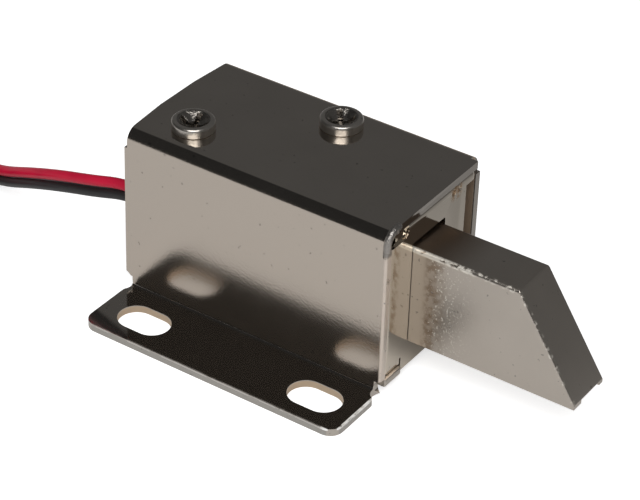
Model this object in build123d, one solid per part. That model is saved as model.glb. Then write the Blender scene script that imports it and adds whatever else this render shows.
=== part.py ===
from build123d import *
import math
import os

past = 1.0                  # how far a cutting shape runs past what it cuts, in millimetres
near = 0.01                 # what counts as the same place

# Driving sizes of the cover, all in millimetres
cover_length = 41.85
cover_width = 23.6
cover_height = 25.9
sheet = 1.1
cover_bend = 2.0            # outside radius of the two top bends
bend_trim = 0.45            # the bends end this far inside the sheet's edges
bend_trim_drop = 2.8        # how far down the walls this goes
bend_trim_run = 8.0         # where it has run out along the roof's rear edge
flange_bend_inner = 0.4     # hollow radius where the flange leaves the wall
flange_reach = 10.6
flange_rear_inset = 0.7
flange_corner = 2.0
far_front_inset = 0.7       # the far wall stops this short of the front
near_front_edge = 0.4       # radius of the near wall's upright front edge
slot_length = 7.9
slot_width = 5.3
slot_spacing = 28.0
slot_from_rear = 7.5
slot_from_wall = 5.7
relief_rear_radius = 1.6
relief_rear_out = 0.5       # the notch's middle lies this far outside the end
relief_rear_ease = 1.2      # rounding between this notch and the flange's end
relief_front_radius = 1.15
relief_front_out = 0.1
relief_front_ease = 0.6
lip_radius = 0.5            # of the bead rolled on the near bend's front end
lip_back = 0.05             # its middle lies this far behind the front
lip_run = 0.4               # how far the bead runs on past the bend, inward and down

# Top screws
screw_from_rear = (7.2, 22.5)
screw_from_near = (5.75, 18.2)
screw_shank = 1.45          # radius
screw_head = 3.0            # radius
screw_rim = 1.0             # height of the straight side of the head
screw_head_height = 1.45
screw_dish_radius = 2.3     # the top is hollowed round the recess
screw_dish_floor = 1.0
screw_dish_depth = 0.95
screw_foot_edge = 0.15       # where the head meets the roof
screw_length = 3.4
screw_recess_width = 0.95
screw_recess_reach = 2.0
screw_recess_depth = 1.7
screw_recess_draft = 8      # degrees
screw_recess_turns = (9, 43)    # degrees
screw_hole_gap = 0.25
thread_gap = 0.03

# Inner yoke and base plate
yoke_sheet = 1.8
yoke_bend = 1.3
yoke_bend_inner = 0.4
yoke_rear_inset = 0.9
yoke_front_inset = 0.4
side_fit = 0.05
leg_foot = 1.2              # height of the lower ends of the legs
leg_width = 18.5
yoke_corner_ease = 0.35     # the web's edges are rounder than the cover's inside
ear_depth = 1.3             # the full width part of the front leg, below the web's top
corner_step_width = 4.6     # coined corner of the front leg
corner_step_height = 2.4
corner_step_depth = 0.4
corner_step_radius = 1.2
corner_hole = 0.55
corner_hole_in = 2.6        # from the near wall's outside
corner_hole_drop = 1.75
stake_pits = ((16.5, 1.4), (18.0, 1.42))    # from the near wall and below the web's top
stake_radius = 0.55
stake_depth = 0.3
base_sheet = 1.2
tab_width = 3.8
tab_proud = 0.5
tab_rear_proud = 0.4
tab_far_inset = 1.5
tab_edge = 0.3
tab_gap = 0.12
tab_slit_height = 1.0
tab_slit_width = 0.35

# Bolt, plunger and travel
stroke = 10.0
axis_from_near = 10.65
bolt_width = 7.5
bolt_from_base = 5.3        # the bolt's underside, above the flange's underside
bolt_from_top = 5.9         # its top, below the top of the cover
bolt_top_proud = 15.4       # how far the top edge stands out of the cover
bolt_tip_proud = 24.75
bolt_nose = 0.7
bolt_edge = 0.5
bolt_slant_edge = 0.2
channel_depth = 0.6
channel_near = 1.9
channel_far = 0.9
opening_near = 0.12
opening_far = 0.30
opening_top = 0.70
opening_bottom = 0.08
opening_corner = 0.35
shoulder_thick = 2.6
shoulder_side = 1.55
shoulder_gap = 0.1
plunger_gap = 0.07          # running clearance in the guide tube
plunger_chamfer = 0.4
neck_radius = 2.4
neck_length = 4.6
neck_gap = 0.03
pin_radius = 0.6
pin_gap = 0.03
pin_inset = 0.2
pin_chamfer = 0.12

# Coil
tube_radius = 4.05
tube_wall = 0.3
bobbin_core_wall = 0.9
bobbin_gap = 0.05
cheek_thick = 1.2
cheek_side_gap = 0.25
cheek_far_gap = 2.55
cheek_foot_gap = 0.65
cheek_screw_gap = 0.25
cheek_corner = 1.5
winding_end_gap = 0.15
winding_chamfer = 0.3
tape_wall = 0.2
core_length = 4.5
core_gap = 0.05
rivet_radius = 2.0
rivet_head = 2.7
rivet_head_height = 0.55
rivet_head_edge = 0.4
rivet_gap = 0.03
bumper_thick = 0.6
bumper_hole = 1.1
washer_thick = 0.5
washer_radius = 6.4
spring_gap = 0.67           # round the plunger
spring_wire = 0.3           # radius
spring_turns = 5.5
spring_room = 4.15          # left for the spring when the bolt is drawn in
seat_gap = 0.03

# Leads
lead_radius = 0.775
lead_bore_gap = 0.05
lead_height_red = 15.3
lead_shift = 0.25           # the black lead lies this much further in than the red one
lead_clearance = 0.06       # between a joint's sleeve and what lies beside it
sleeve_wall_gap = 0.13      # between a sleeve and the near wall
grommet_lip = 0.4
grommet_lip_step = 0.5
grommet_wall = 0.65
grommet_corner = 0.6
sleeve_start_gap = 1.5      # from the rear cheek to the first sleeve
sleeve_gap = 0.5            # from the first sleeve to the second
sleeve_overlap = 2.6        # how far a lead reaches into its sleeve
sleeve_wall = 0.15
tail_radius = 0.2
tail_run = 1.2
tail_bend = 0.5
tail_gap = 0.3              # from the second tail to the front cheek
lead_coil_radius = 10.5     # middle of the outer turn of the put away leads
lead_coil_turns = 3.5
lead_coil_pitch = 1.65
lead_coil_x = -74.3
lead_coil_y = -7.49
lead_coil_cut = 3.0
bare_end_radius = 0.42
bare_end_length = 5.0
bare_end_chamfer = 0.1
bare_end_from_middle = 3.0  # across the coil's eye

# Reference planes, with the origin under the middle of the lock
total_length = cover_length + bolt_tip_proud
rear_x = -total_length / 2
front_x = rear_x + cover_length
near_y = -(cover_width - flange_reach) / 2
far_y = near_y + cover_width
inner_near = near_y + sheet
inner_far = far_y - sheet
roof_z = cover_height - sheet
yoke_rear = rear_x + yoke_rear_inset
yoke_front = front_x - yoke_front_inset
chamber_rear = yoke_rear + yoke_sheet
chamber_front = yoke_front - yoke_sheet
web_under = roof_z - yoke_sheet
base_top = leg_foot + base_sheet
axis_y = near_y + axis_from_near
bolt_near = axis_y - bolt_width / 2
bolt_far = axis_y + bolt_width / 2
bolt_under = bolt_from_base
bolt_top = cover_height - bolt_from_top
axis_z = (bolt_under + bolt_top) / 2
shoulder_front = chamber_front - shoulder_gap
shoulder_rear = shoulder_front - shoulder_thick
leg_near = inner_near + side_fit
leg_far = leg_near + leg_width
washer_front = shoulder_rear - stroke - spring_room
bobbin_front = washer_front - washer_thick
core_face = chamber_rear + core_length
bumper_face = core_face + bumper_thick
tube_bore = tube_radius - tube_wall
plunger_radius = tube_bore - plunger_gap
spring_radius = plunger_radius + spring_gap + spring_wire
cheek_rear_inner = chamber_rear + cheek_thick
cheek_front_inner = bobbin_front - cheek_thick
core_wall_radius = tube_radius + bobbin_gap + bobbin_core_wall
grommet_out = yoke_rear - grommet_lip

# Where the leads and their sleeves lie beside the winding, which is as thick as they leave room for
sleeve_bore = lead_radius + lead_bore_gap
sleeve_radius = sleeve_bore + sleeve_wall
lead_spacing = sleeve_radius + lead_radius + lead_clearance
lead_y = {"red": inner_near + sleeve_wall_gap + sleeve_radius}
lead_y["black"] = lead_y["red"] + lead_shift
lead_z = {"red": lead_height_red}
lead_z["black"] = lead_z["red"] - math.sqrt(lead_spacing ** 2 - lead_shift ** 2)
tail_room = tail_bend + tail_run + tail_radius + tail_gap
sleeve_room = cheek_front_inner - cheek_rear_inner - sleeve_start_gap - sleeve_gap - tail_room
sleeve_length = sleeve_room / 2
sleeve_start = {"red": cheek_rear_inner + sleeve_start_gap}
sleeve_start["black"] = sleeve_start["red"] + sleeve_length + sleeve_gap
nearest_lead = min(math.dist((axis_y, axis_z), (lead_y[colour], lead_z[colour])) for colour in lead_y)
tape_radius = nearest_lead - sleeve_radius - lead_clearance
winding_radius = tape_radius - tape_wall - bobbin_gap

# Routes of the two leads outside the lock, between the grommet and the coil.
# They leave the grommet level, droop to the surface that the lock stands on and run to the coil.
red_route = [
    (-35.6, lead_y["red"], lead_z["red"]),
    (-40.18, -4.74, 14.2),
    (-46.27, -3.95, 12.23),
    (-53.5, -2.0, 8.93),
    (-62.0, 1.2, 4.19),
    (-68.0, 3.01, 2.4),
]
black_route = [
    (-35.2, lead_y["black"], lead_z["black"]),
    (-40.0, -4.0, 11.98),
    (-46.0, -3.5, 10.2),
    (-53.1, -2.0, 7.28),
    (-61.7, 1.1, 2.56),
    (-68.0, 3.01, 0.8),
]


def block(x0, x1, y0, y1, z0, z1):
    """A box between two corners."""
    middle = Pos((x0 + x1) / 2, (y0 + y1) / 2, (z0 + z1) / 2)
    return middle * Box(x1 - x0, y1 - y0, z1 - z0)


def rod_x(x0, x1, y, z, radius):
    """A cylinder along X."""
    return Pos((x0 + x1) / 2, y, z) * Rot(0, 90, 0) * Cylinder(radius, x1 - x0)


def rod_y(y0, y1, x, z, radius):
    """A cylinder along Y."""
    return Pos(x, (y0 + y1) / 2, z) * Rot(90, 0, 0) * Cylinder(radius, y1 - y0)


def rod_z(z0, z1, x, y, radius):
    """A cylinder along Z."""
    return Pos(x, y, (z0 + z1) / 2) * Cylinder(radius, z1 - z0)


def ring_x(x0, x1, outer, inner):
    """A ring round the bolt's axis."""
    ring = rod_x(x0, x1, axis_y, axis_z, outer)
    return ring - rod_x(x0 - past, x1 + past, axis_y, axis_z, inner)


def rounded_face(corners):
    """A flat face from corners (a, b, radius); a radius of 0 leaves the corner sharp."""
    face = make_face(Polyline(*[(a, b) for a, b, _ in corners], close=True))
    for a, b, radius in corners:
        if radius > 0:
            corner = face.vertices().sort_by_distance((a, b, 0))[0]
            face = fillet(corner, radius)
    return face


def along_x(face, x0, x1):
    """Stretches a face drawn in Y and Z from x0 to x1."""
    return extrude(Plane.YZ.offset(x0) * face, amount=x1 - x0)


def along_y(face, y0, y1):
    """Stretches a face drawn in X and Z from y0 to y1."""
    return extrude(Plane.XZ.offset(-y1) * face, amount=y1 - y0)


def save(name, shape):
    """Writes one node; a list is a group of separate solids."""
    if isinstance(shape, list):
        shape = Compound(children=shape)
    export_step(shape, f"parts/{name}.step")


def cover_profile():
    """The cover seen from the front: flange, near wall, roof and far wall."""
    bend_inner = cover_bend - sheet
    return rounded_face([
        (near_y - flange_reach, 0, 0),
        (inner_near, 0, flange_bend_inner + sheet),
        (inner_near, roof_z, bend_inner),
        (inner_far, roof_z, bend_inner),
        (inner_far, 0, 0),
        (far_y, 0, 0),
        (far_y, cover_height, cover_bend),
        (near_y, cover_height, cover_bend),
        (near_y, sheet, flange_bend_inner),
        (near_y - flange_reach, sheet, 0),
    ])


def flange_slot(x):
    """One long hole for a fixing screw, stretched along the flange."""
    y = near_y - slot_from_wall
    flat = slot_length - slot_width
    half = slot_width / 2
    hole = block(x - flat / 2, x + flat / 2, y - half, y + half, -past, sheet + past)
    for end in (x - flat / 2, x + flat / 2):
        hole += rod_z(-past, sheet + past, end, y, half)
    return hole


def relief(x, radius):
    """The round notch at one end of the flange bend, through the wall and the flange."""
    height = sheet + flange_bend_inner
    side = rod_y(near_y - flange_bend_inner, inner_near + past, x, height, radius)
    down = rod_z(-past, height + past, x, near_y - flange_bend_inner, radius)
    return side + down


def bend_trims():
    """What the blank lacks at the ends of its two top bends."""
    rear = rear_x + bend_trim
    cuts = []
    for edge, side in ((near_y, 1), (far_y, -1)):
        corners = [
            (rear_x - past, edge - side * past),
            (rear, edge - side * past),
            (rear, edge + side * cover_bend),
            (rear_x, edge + side * bend_trim_run),
            (rear_x - past, edge + side * bend_trim_run),
        ]
        face = make_face(Polyline(*corners, close=True))
        cuts.append(Pos(0, 0, cover_height - bend_trim_drop) * extrude(face, amount=bend_trim_drop + past))
        front = front_x - bend_trim - (far_front_inset if side < 0 else 0)
        y0, y1 = sorted((edge - side * past, edge + side * cover_bend))
        cuts.append(block(front, front_x + past, y0, y1, cover_height - bend_trim_drop, cover_height + past))
    return cuts


def corner_lip():
    """The bead rolled on the front end of the near bend, round at both ends."""
    x = front_x - lip_back
    y, z = near_y + cover_bend, cover_height - cover_bend
    lip = Pos(x, y, z) * Rot(0, 90, 0) * Torus(cover_bend, lip_radius)
    lip = lip & block(x - past, x + past, near_y - past, y, z, cover_height + past)
    lip += rod_y(y, y + lip_run, x, cover_height, lip_radius)
    lip += rod_z(z - lip_run, z, x, near_y, lip_radius)
    lip += Pos(x, y + lip_run, cover_height) * Sphere(lip_radius)
    return lip + Pos(x, near_y, z - lip_run) * Sphere(lip_radius)


def screw_places():
    """Where the two top screws stand."""
    return [
        (rear_x + from_rear, near_y + from_near)
        for from_rear, from_near in zip(screw_from_rear, screw_from_near)
    ]


def make_cover():
    """Bent sheet case with its mounting flange, slots, screw holes and reliefs."""
    cover = along_x(cover_profile(), rear_x, front_x)
    flange_edge = near_y - flange_reach
    trim_y = near_y - flange_bend_inner - relief_rear_radius / 2
    trim_x = rear_x + flange_rear_inset
    cover -= block(rear_x - past, trim_x, flange_edge - past, trim_y, -past, sheet + past)
    corners = [
        edge for edge in cover.edges().filter_by(Axis.Z)
        if abs(edge.center().Y - flange_edge) < near
    ]
    cover = fillet(corners, flange_corner)
    cover -= relief(rear_x - relief_rear_out, relief_rear_radius)
    cover -= relief(front_x + relief_front_out, relief_front_radius)
    notches = (
        (trim_x, relief_rear_radius, relief_rear_ease),
        (front_x, relief_front_radius, relief_front_ease),
    )
    for end_x, radius, ease in notches:
        spur = [
            edge for edge in cover.edges().filter_by(Axis.Z)
            if abs(edge.center().X - end_x) < near and edge.center().Z < sheet
            and near_y - 2 * radius < edge.center().Y < near_y
        ]
        cover = fillet(spur, ease)
    slot_x = rear_x + slot_from_rear
    for x in (slot_x, slot_x + slot_spacing):
        cover -= flange_slot(x)
    step_x = front_x - far_front_inset
    step_top = cover_height - cover_bend
    cover -= block(step_x, front_x + past, inner_far - near, far_y + past, -past, step_top)
    for x, y in screw_places():
        cover -= rod_z(roof_z - past, cover_height + past, x, y, screw_shank + screw_hole_gap)
    for cut in bend_trims():
        cover -= cut
    low = sheet + flange_bend_inner
    edge_x, edge_y = front_x - near_front_edge, near_y + near_front_edge
    corner = block(edge_x, front_x + past, near_y - past, edge_y, low, cover_height)
    cover -= corner - rod_z(low - past, cover_height + past, edge_x, edge_y, near_front_edge)
    return cover + corner_lip()


def make_yoke():
    """Inner steel frame: web under the roof, a front leg with the bolt's opening, a rear leg."""
    profile = rounded_face([
        (yoke_rear, leg_foot, 0),
        (yoke_rear, roof_z, yoke_bend),
        (yoke_front, roof_z, yoke_bend),
        (yoke_front, leg_foot, 0),
        (chamber_front, leg_foot, 0),
        (chamber_front, web_under, yoke_bend_inner),
        (chamber_rear, web_under, yoke_bend_inner),
        (chamber_rear, leg_foot, 0),
    ])
    yoke = along_y(profile, leg_near, inner_far - side_fit)
    roof_edges = [
        edge for edge in yoke.edges().filter_by(Axis.X)
        if abs(edge.center().Z - roof_z) < near
    ]
    yoke = fillet(roof_edges, cover_bend - sheet + yoke_corner_ease)
    foot = leg_foot - past
    ear_z = min(roof_z - ear_depth, web_under)
    for x0, x1 in ((yoke_rear - past, chamber_rear), (chamber_front, yoke_front + past)):
        yoke -= block(x0, x1, leg_far, inner_far + past, foot, ear_z)
        for y0, y1 in tab_places():
            yoke -= block(x0, x1, y0 - tab_gap, y1 + tab_gap, foot, base_top + tab_gap)
    yoke -= bolt_opening()
    yoke -= corner_step()
    yoke -= rod_x(yoke_rear - past, chamber_rear + past, axis_y, axis_z, rivet_radius + rivet_gap)
    yoke -= grommet_space(yoke_rear - past, chamber_rear + past, grommet_wall)
    for x, y in screw_places():
        yoke -= rod_z(web_under - past, roof_z + past, x, y, screw_shank + thread_gap)
    slit_near = leg_near + tab_width + tab_gap
    slit_far = slit_near + tab_slit_width
    slit_top = base_top + tab_slit_height
    yoke -= block(chamber_front, yoke_front + past, slit_near, slit_far, foot, slit_top)
    for from_near, drop in stake_pits:
        pit = Pos(yoke_front + stake_radius - stake_depth, near_y + from_near, roof_z - drop)
        yoke -= pit * Sphere(stake_radius)
    return yoke


def bolt_opening():
    """The window in the front leg, a little larger than the bolt."""
    window = rounded_face([
        (bolt_near - opening_near, bolt_under - opening_bottom, opening_corner),
        (bolt_far + opening_far, bolt_under - opening_bottom, opening_corner),
        (bolt_far + opening_far, bolt_top + opening_top, opening_corner),
        (bolt_near - opening_near, bolt_top + opening_top, opening_corner),
    ])
    return along_x(window, chamber_front - past, yoke_front + past)


def corner_step():
    """The coined near top corner of the front leg and the small hole in it."""
    edge = leg_near + corner_step_width
    low = roof_z - corner_step_height
    step = rounded_face([
        (leg_near - past, low, 0),
        (edge, low, corner_step_radius),
        (edge, roof_z + past, 0),
        (leg_near - past, roof_z + past, 0),
    ])
    cut = along_x(step, yoke_front - corner_step_depth, yoke_front + past)
    hole_y = near_y + corner_hole_in
    hole_z = roof_z - corner_hole_drop
    return cut + rod_x(chamber_front - past, yoke_front + past, hole_y, hole_z, corner_hole)


def tab_places():
    """Y ranges of the base plate's tabs, one pair near and one far."""
    near_tab = (leg_near, leg_near + tab_width)
    far_tab = (leg_far - tab_far_inset - tab_width, leg_far - tab_far_inset)
    return [near_tab, far_tab]


def make_base_plate():
    """Flat plate that closes the yoke below, with four tabs through the legs."""
    plate = block(chamber_rear, chamber_front, leg_near, inner_far - side_fit, leg_foot, base_top)
    for y0, y1 in tab_places():
        tab = block(yoke_rear - tab_rear_proud, yoke_front + tab_proud, y0, y1, leg_foot, base_top)
        ends = tab.faces().sort_by(Axis.X)
        tab = fillet(ends[-1].edges() + ends[0].edges(), tab_edge)
        plate += tab
    return plate


def make_screws():
    """Two pan head screws that hold the cover on the yoke's web."""
    screws = []
    top = cover_height + screw_head_height
    for (x, y), first_turn in zip(screw_places(), screw_recess_turns):
        head = rod_z(cover_height, top, x, y, screw_head)
        head = fillet(head.edges().sort_by(Axis.Z)[-1], screw_head_height - screw_rim)
        head = fillet(head.edges().sort_by(Axis.Z)[0], screw_foot_edge)
        screw = head + rod_z(cover_height - screw_length, cover_height, x, y, screw_shank)
        dish = Cone(screw_dish_floor, screw_dish_radius, screw_dish_depth)
        screw -= Pos(x, y, top - screw_dish_depth / 2) * dish
        outline = Rectangle(2 * screw_recess_reach, screw_recess_width)
        wing = Rot(180, 0, 0) * extrude(outline, amount=screw_recess_depth, taper=screw_recess_draft)
        for turn in (first_turn, first_turn + 90):
            screw -= Pos(x, y, top) * Rot(0, 0, turn) * wing
        screws.append(screw)
    return screws


def make_latch_bolt():
    """Latch bolt with its slanted end, hollow underside and the shoulder that stops it."""
    tip = front_x + bolt_tip_proud
    slant = front_x + bolt_top_proud
    nose_top = bolt_under + bolt_nose
    profile = rounded_face([
        (shoulder_front, bolt_under, 0),
        (tip, bolt_under, 0),
        (tip, nose_top, 0),
        (slant, bolt_top, 0),
        (shoulder_front, bolt_top, 0),
    ])
    bolt = along_y(profile, bolt_near, bolt_far)
    top_edges = [e for e in bolt.edges().filter_by(Axis.X) if e.center().Z > axis_z]
    bolt = fillet(top_edges, bolt_edge)
    slant_edges = [
        edge for edge in bolt.edges()
        if edge.center().X > slant + bolt_edge and edge.center().Z > nose_top + bolt_edge
    ]
    bolt = fillet(slant_edges, bolt_slant_edge)
    bolt -= block(front_x, tip + past, bolt_near + channel_near, bolt_far - channel_far,
                  bolt_under - past, bolt_under + channel_depth)
    bolt += block(shoulder_rear, shoulder_front, bolt_near - shoulder_side, bolt_far + shoulder_side,
                  bolt_under - shoulder_side, bolt_top + shoulder_side)
    socket_end = shoulder_rear + neck_length + neck_gap
    bolt -= rod_x(shoulder_rear - past, socket_end, axis_y, axis_z, neck_radius + neck_gap)
    return bolt - pin_rod(pin_radius + pin_gap, past)


def pin_rod(radius, extra):
    """A rod across the shoulder, longer than the pin by extra at each end."""
    y0 = bolt_near - shoulder_side + pin_inset - extra
    y1 = bolt_far + shoulder_side - pin_inset + extra
    return rod_y(y0, y1, (shoulder_rear + shoulder_front) / 2, axis_z, radius)


def make_plunger():
    """Moving iron core with a neck that the bolt is pinned to."""
    rear_end = bumper_face + stroke + seat_gap
    plunger = rod_x(rear_end, shoulder_rear, axis_y, axis_z, plunger_radius)
    plunger = chamfer(plunger.edges().sort_by(Axis.X)[0], plunger_chamfer)
    plunger += rod_x(shoulder_rear, shoulder_rear + neck_length, axis_y, axis_z, neck_radius)
    return plunger - pin_rod(pin_radius + pin_gap, past)


def make_plunger_pin():
    """Plain pin that holds the bolt on the plunger."""
    pin = pin_rod(pin_radius, 0)
    ends = pin.faces().sort_by(Axis.Y)
    return chamfer(ends[0].edges() + ends[-1].edges(), pin_chamfer)


def make_return_spring():
    """Compression spring between the seat washer and the bolt's shoulder."""
    start = washer_front + spring_wire + seat_gap
    length = shoulder_rear - spring_wire - seat_gap - start
    line = Helix(pitch=length / spring_turns, height=length, radius=spring_radius)
    section = Plane(origin=line @ 0, z_dir=line % 0) * Circle(spring_wire)
    spring = sweep(section, path=line, is_frenet=True)
    return Pos(start, axis_y, axis_z) * Rot(0, 90, 0) * spring


def make_bobbin():
    """Moulded spool with two square cheeks, notched near the leads."""
    bore = tube_radius + bobbin_gap
    bobbin = ring_x(chamber_rear, bobbin_front, core_wall_radius, bore)
    near_edge = inner_near + cheek_side_gap
    far_edge = inner_far - cheek_far_gap
    foot = base_top + cheek_foot_gap
    top = cover_height - screw_length - cheek_screw_gap
    cheek = rounded_face([
        (near_edge, foot, cheek_corner),
        (far_edge, foot, cheek_corner),
        (far_edge, top, cheek_corner),
        (near_edge, top, cheek_corner),
    ])
    for x0, x1 in ((chamber_rear, cheek_rear_inner), (cheek_front_inner, bobbin_front)):
        bobbin += along_x(cheek, x0, x1) - rod_x(x0 - past, x1 + past, axis_y, axis_z, bore)
    notch_wall = grommet_wall + bobbin_gap
    return bobbin - grommet_space(chamber_rear - past, cheek_rear_inner + past, notch_wall)


def make_winding():
    """Copper winding as one body with its ends eased."""
    start = cheek_rear_inner + winding_end_gap
    end = cheek_front_inner - winding_end_gap
    winding = ring_x(start, end, winding_radius, core_wall_radius + bobbin_gap)
    rims = winding.edges().filter_by(GeomType.CIRCLE)
    outer = [rim for rim in rims if rim.radius > winding_radius - winding_chamfer]
    return chamfer(outer, winding_chamfer)


def make_winding_tape():
    """Insulating tape round the winding."""
    start = cheek_rear_inner + 2 * winding_end_gap
    end = cheek_front_inner - 2 * winding_end_gap
    return ring_x(start, end, tape_radius, winding_radius + bobbin_gap)


def make_fixed_core():
    """Fixed iron core, riveted into the rear leg."""
    core = rod_x(chamber_rear, core_face, axis_y, axis_z, tube_bore - core_gap)
    core += rod_x(yoke_rear, chamber_rear, axis_y, axis_z, rivet_radius)
    head = rod_x(yoke_rear - rivet_head_height, yoke_rear, axis_y, axis_z, rivet_head)
    head = fillet(head.edges().sort_by(Axis.X)[0], rivet_head_edge)
    return core + head


def grommet_space(x0, x1, wall):
    """The rounded slot that both leads pass, open to the near side."""
    low = lead_z["black"] - lead_radius - wall
    high = lead_z["red"] + lead_radius + wall
    deep = lead_y["black"] + lead_radius + wall
    shape = rounded_face([
        (leg_near - past, low, 0),
        (deep, low, grommet_corner),
        (deep, high, grommet_corner),
        (leg_near - past, high, 0),
    ])
    return along_x(shape, x0, x1)


def lead_rod(colour, x0, x1, radius):
    """A cylinder along the straight part of one lead."""
    return rod_x(x0, x1, lead_y[colour], lead_z[colour], radius)


def make_grommet():
    """Rubber grommet in the rear leg, with one bore for each lead."""
    reach = block(grommet_out, chamber_rear, inner_near + side_fit, axis_y, 0, cover_height)
    body = grommet_space(yoke_rear, chamber_rear, grommet_wall - bobbin_gap) & reach
    lip = grommet_space(grommet_out, yoke_rear, grommet_wall + grommet_lip_step) & reach
    grommet = body + lip
    for colour in lead_y:
        bore = lead_radius + lead_bore_gap
        grommet -= lead_rod(colour, grommet_out - past, chamber_rear + past, bore)
    return grommet


def make_lead_sleeves():
    """Shrunk sleeves over the two soldered joints beside the winding, one behind the other."""
    sleeves = []
    for colour, start in sleeve_start.items():
        end = start + sleeve_length
        sleeve = lead_rod(colour, start, end, sleeve_radius)
        sleeve -= lead_rod(colour, start - past, end + past, sleeve_bore)
        sleeves.append(sleeve)
    return sleeves


def make_coil_tails():
    """Copper ends of the winding, from the joints to the side of the winding."""
    tails = []
    for colour, start in sleeve_start.items():
        y, z = lead_y[colour], lead_z[colour]
        bend_x = start + sleeve_length + tail_bend
        toward = Vector(0, axis_y - y, axis_z - z)
        reach = toward.length - tape_radius - tail_radius - seat_gap
        end = Vector(bend_x + tail_run, y, z) + toward.normalized() * reach
        joint = (start + sleeve_overlap, y, z)
        path = FilletPolyline(joint, (bend_x, y, z), tuple(end), radius=tail_bend)
        section = Plane(origin=path @ 0, z_dir=path % 0) * Circle(tail_radius)
        tails.append(sweep(section, path=path))
    return tails


def make_inner_lead(colour):
    """The straight stretch of one lead, from the outside of the grommet to its joint."""
    return lead_rod(colour, grommet_out, sleeve_start[colour] + sleeve_overlap, lead_radius)


def lead_path(colour, route):
    """Straight runs joined by arcs, from the grommet to the coil; prints the arcs' radii."""
    height = route[-1][2]
    start = (grommet_out, lead_y[colour], lead_z[colour])
    end = (lead_coil_x + lead_coil_cut, lead_coil_y + lead_coil_radius, height)
    points = [Vector(*p) for p in [start, *route, end]]
    radii = []
    for before, here, after in zip(points, points[1:], points[2:]):
        first, second = here - before, after - here
        half_turn = math.radians(first.get_angle(second)) / 2
        radii.append(0.45 * min(first.length, second.length) / math.tan(half_turn))
    print(colour, "arc radii", [round(r, 1) for r in radii])
    return FilletPolyline(*points, radius=radii)


def make_lead(colour, route):
    """One insulated lead from the grommet to the put away coil."""
    path = lead_path(colour, route)
    section = Plane(origin=path @ 0, z_dir=path % 0) * Circle(lead_radius)
    lead = sweep(section, path=path)
    expected = math.pi * lead_radius ** 2 * path.length
    print(colour, "length", round(path.length, 1), "volume share", round(lead.volume / expected, 4))
    return lead


def make_lead_coil(route):
    """The outer shape of one lead's put away turns, flat beside where the lead arrives."""
    low = route[-1][2] - lead_radius
    high = route[-1][2] + lead_radius
    outer = lead_coil_radius + lead_radius
    inner = lead_coil_radius - lead_coil_turns * lead_coil_pitch - lead_radius
    coil = rod_z(low, high, lead_coil_x, lead_coil_y, outer)
    coil -= rod_z(low - past, high + past, lead_coil_x, lead_coil_y, inner)
    start_x = lead_coil_x + lead_coil_cut
    edge_y = lead_coil_y + lead_coil_radius - lead_radius - lead_bore_gap
    return coil - block(start_x, start_x + outer, edge_y, edge_y + outer, low - past, high + past)


def make_bare_end(route):
    """The stripped and tinned end of a lead, inside the coil's eye."""
    inner = lead_coil_radius - lead_coil_turns * lead_coil_pitch - lead_radius
    y, z = lead_coil_y - bare_end_from_middle, route[-1][2]
    start = lead_coil_x - math.sqrt(inner ** 2 - bare_end_from_middle ** 2)
    end = rod_x(start - bare_end_radius, start + bare_end_length, y, z, bare_end_radius)
    end = chamfer(end.edges().sort_by(Axis.X)[-1], bare_end_chamfer)
    eye = rod_z(z - lead_radius, z + lead_radius, lead_coil_x, lead_coil_y, inner)
    return end & eye


os.makedirs("parts", exist_ok=True)
save("cover", make_cover())
save("yoke", make_yoke())
save("base_plate", make_base_plate())
save("cover_screws", make_screws())
save("latch_bolt", make_latch_bolt())
save("plunger", make_plunger())
save("plunger_pin", make_plunger_pin())
save("return_spring", make_return_spring())
save("bobbin", make_bobbin())
save("winding", make_winding())
save("winding_tape", make_winding_tape())
save("guide_tube", ring_x(chamber_rear, washer_front, tube_radius, tube_bore))
save("fixed_core", make_fixed_core())
save("bumper_washer", ring_x(core_face, bumper_face, tube_bore - 2 * core_gap, bumper_hole))
save("spring_washer", ring_x(bobbin_front, washer_front, washer_radius, tube_radius + bobbin_gap))
save("lead_grommet", make_grommet())
save("lead_sleeves", make_lead_sleeves())
save("coil_tails", make_coil_tails())
save("red_lead_inner", make_inner_lead("red"))
save("black_lead_inner", make_inner_lead("black"))
save("red_lead", make_lead("red", red_route))
save("black_lead", make_lead("black", black_route))
save("red_lead_coil", make_lead_coil(red_route))
save("black_lead_coil", make_lead_coil(black_route))
save("red_lead_end", make_bare_end(red_route))
save("black_lead_end", make_bare_end(black_route))
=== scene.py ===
import math

import bmesh
import bpy
from mathutils import Matrix, Vector


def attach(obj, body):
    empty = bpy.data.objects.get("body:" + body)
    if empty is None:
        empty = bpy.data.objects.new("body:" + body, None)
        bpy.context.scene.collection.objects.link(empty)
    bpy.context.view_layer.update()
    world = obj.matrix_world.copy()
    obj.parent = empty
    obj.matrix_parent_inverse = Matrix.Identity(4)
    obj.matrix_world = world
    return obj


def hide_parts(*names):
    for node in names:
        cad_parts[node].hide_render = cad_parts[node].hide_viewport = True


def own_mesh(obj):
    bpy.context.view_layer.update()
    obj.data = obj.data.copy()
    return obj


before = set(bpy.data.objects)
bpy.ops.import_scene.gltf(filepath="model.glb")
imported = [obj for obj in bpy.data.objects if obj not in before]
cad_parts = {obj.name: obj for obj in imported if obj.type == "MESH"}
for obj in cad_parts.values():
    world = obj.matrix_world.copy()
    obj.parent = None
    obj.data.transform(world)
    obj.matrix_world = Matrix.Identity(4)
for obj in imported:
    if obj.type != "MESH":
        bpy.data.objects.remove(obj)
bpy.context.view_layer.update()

# The camera stands in front of the near corner, above the bolt, with a long lens.
# Its place and turn come from the straight edges of the lock in the photograph.
mm = 0.001
camera_place = Vector((142.42, -226.55, 199.56)) * mm
camera_yaw = math.radians(33.199)
camera_pitch = math.radians(34.400)
camera_roll = math.radians(2.083)
camera_lens = 139.81
film_width = 36
near_limit = 0.01

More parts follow.
